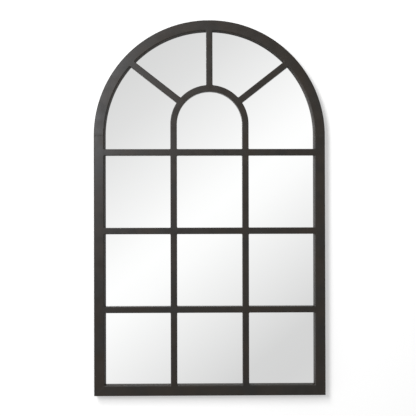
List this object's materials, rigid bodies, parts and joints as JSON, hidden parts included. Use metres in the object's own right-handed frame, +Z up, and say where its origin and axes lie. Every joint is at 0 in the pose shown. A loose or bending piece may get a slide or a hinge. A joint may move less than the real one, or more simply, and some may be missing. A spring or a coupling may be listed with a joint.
{
  "type": "wall mirror",
  "caption": "Arched wall mirror with a black tube frame and window grille: inner hoop, radiating spokes and square panes over a mirror sheet, with ring hangers on the back.",
  "frame": {"origin": "middle of the width and of the depth, at the height of the bottom edge", "axes": "+X to the viewer's right, +Y from the glass to the wall, +Z up"},
  "size_m": [0.61, 0.033, 0.9899],
  "materials": {
    "frame_black": "black powder coat, semi-matt, faint bronze and grey mottling",
    "mirror": "silvered float glass",
    "hardboard": "brown hardboard, smooth face",
    "clip_steel": "bright zinc",
    "zinc_screws": "bright zinc",
    "hanger_steel": "nickel plate",
    "bumper_rubber": "soft black rubber"
  },
  "bodies": {
    "mirror_frame": {"arch_clip_1": "clip_steel", "arch_clip_2": "clip_steel", "arch_clip_3": "clip_steel", "arch_glass_stop": "frame_black", "arch_tube": "frame_black", "backing_board": "hardboard", "bottom_clip": "frame_black", "bottom_glass_stop": "frame_black", "bottom_rail_tube": "frame_black", "clip_screws": "zinc_screws", "hanger_screws": "zinc_screws", "left_bumper": "bumper_rubber", "left_clip_1": "clip_steel", "left_clip_2": "clip_steel", "left_glass_stop": "frame_black", "left_hanger_strap": "hanger_steel", "left_stile_tube": "frame_black", "mirror_sheet": "mirror", "right_bumper": "bumper_rubber", "right_clip_1": "clip_steel", "right_clip_2": "clip_steel", "right_glass_stop": "frame_black", "right_hanger_strap": "hanger_steel", "right_stile_tube": "frame_black", "row_1_bar_centre": "frame_black", "row_1_bar_left": "frame_black", "row_1_bar_right": "frame_black", "row_2_bar_centre": "frame_black", "row_2_bar_left": "frame_black", "row_2_bar_right": "frame_black", "row_3_bar_centre": "frame_black", "row_3_bar_left": "frame_black", "row_3_bar_right": "frame_black", "spoke_centre": "frame_black", "spoke_left": "frame_black", "spoke_right": "frame_black", "window_hoop": "frame_black"},
    "left_ring": {"left_hanger_ring": "hanger_steel"},
    "right_ring": {"right_hanger_ring": "hanger_steel"}
  },
  "joints": [
    {"name": "left_ring_swing", "type": "hinge", "parent": "mirror_frame", "child": "left_ring", "pos_m": [-0.291, 0.0139, 0.648], "axis": [1, 0, 0], "range_deg": [0, 180]},
    {"name": "right_ring_swing", "type": "hinge", "parent": "mirror_frame", "child": "right_ring", "pos_m": [0.291, 0.0139, 0.648], "axis": [1, 0, 0], "range_deg": [0, 180]}
  ]
}
